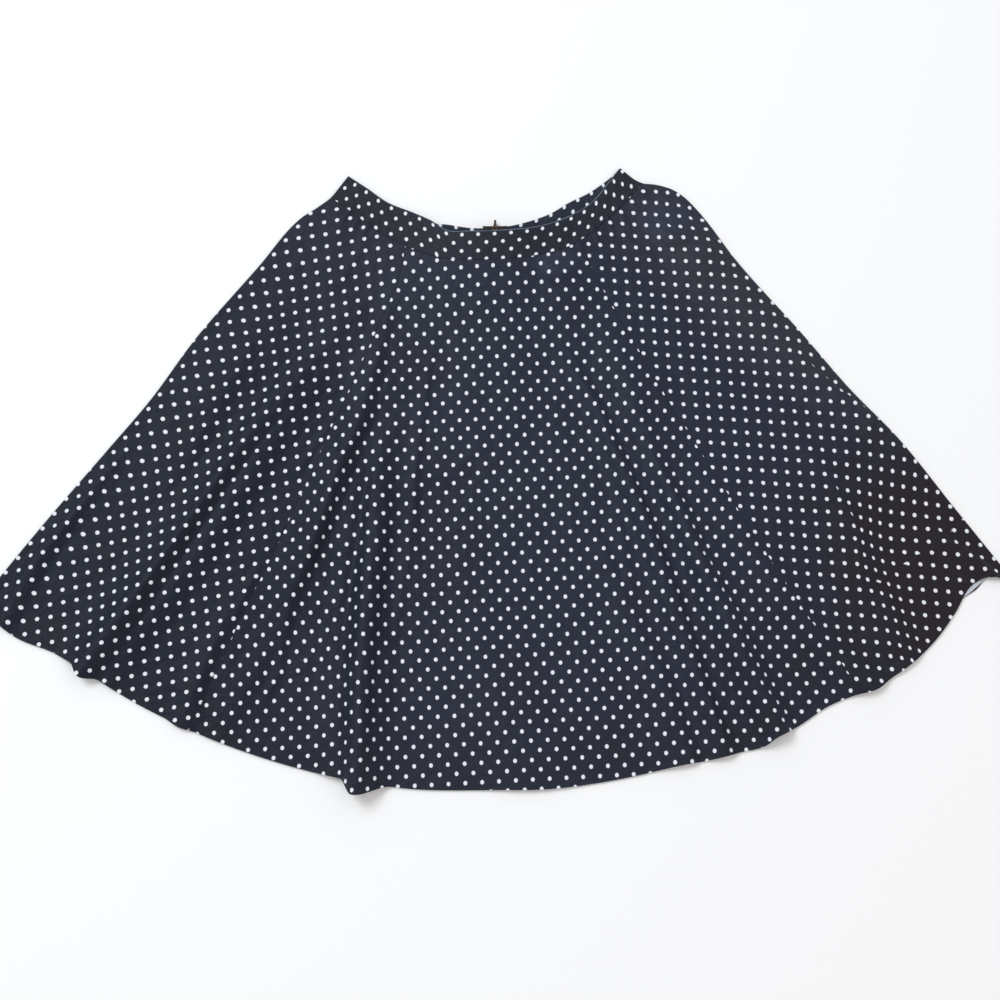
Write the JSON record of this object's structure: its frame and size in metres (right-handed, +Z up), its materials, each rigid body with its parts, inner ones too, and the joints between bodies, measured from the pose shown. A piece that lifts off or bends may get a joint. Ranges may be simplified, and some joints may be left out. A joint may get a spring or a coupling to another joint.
{
  "type": "swing skirt",
  "caption": "Flared polka-dot swing skirt laid flat on its back, with a contoured waistband, long folds that open at the hem and a centre back zip with a turning pull tab.",
  "frame": {"origin": "on the surface that the skirt lies on, under the middle of its outline", "axes": "+Z up from the surface to the skirt's front, +X to the viewer's right across the skirt, +Y from the hem to the waistband"},
  "size_m": [1.1582, 0.735, 0.0327],
  "materials": {
    "dotted_cotton": "navy cotton sateen with white dots",
    "zip_tape": "dark brown woven tape",
    "zip_metal": "dull metal"
  },
  "bodies": {
    "skirt": {"front_centre_gore": "dotted_cotton", "front_left_gore": "dotted_cotton", "front_right_gore": "dotted_cotton", "waistband_front": "dotted_cotton", "waistband_back_left": "dotted_cotton", "waistband_back_right": "dotted_cotton", "back_left_side_gore": "dotted_cotton", "back_centre_left_gore": "dotted_cotton", "back_centre_right_gore": "dotted_cotton", "back_right_side_gore": "dotted_cotton", "zip_tape_left": "zip_tape", "zip_tape_right": "zip_tape", "zip_slider": "zip_metal"},
    "pull": {"zip_pull": "zip_metal"}
  },
  "joints": [
    {"name": "pull_turn", "type": "hinge", "parent": "skirt", "child": "pull", "pos_m": [-0.00156, 0.28757, 0.0057], "axis": [1, 0, 0], "range_deg": [0, 100]}
  ]
}
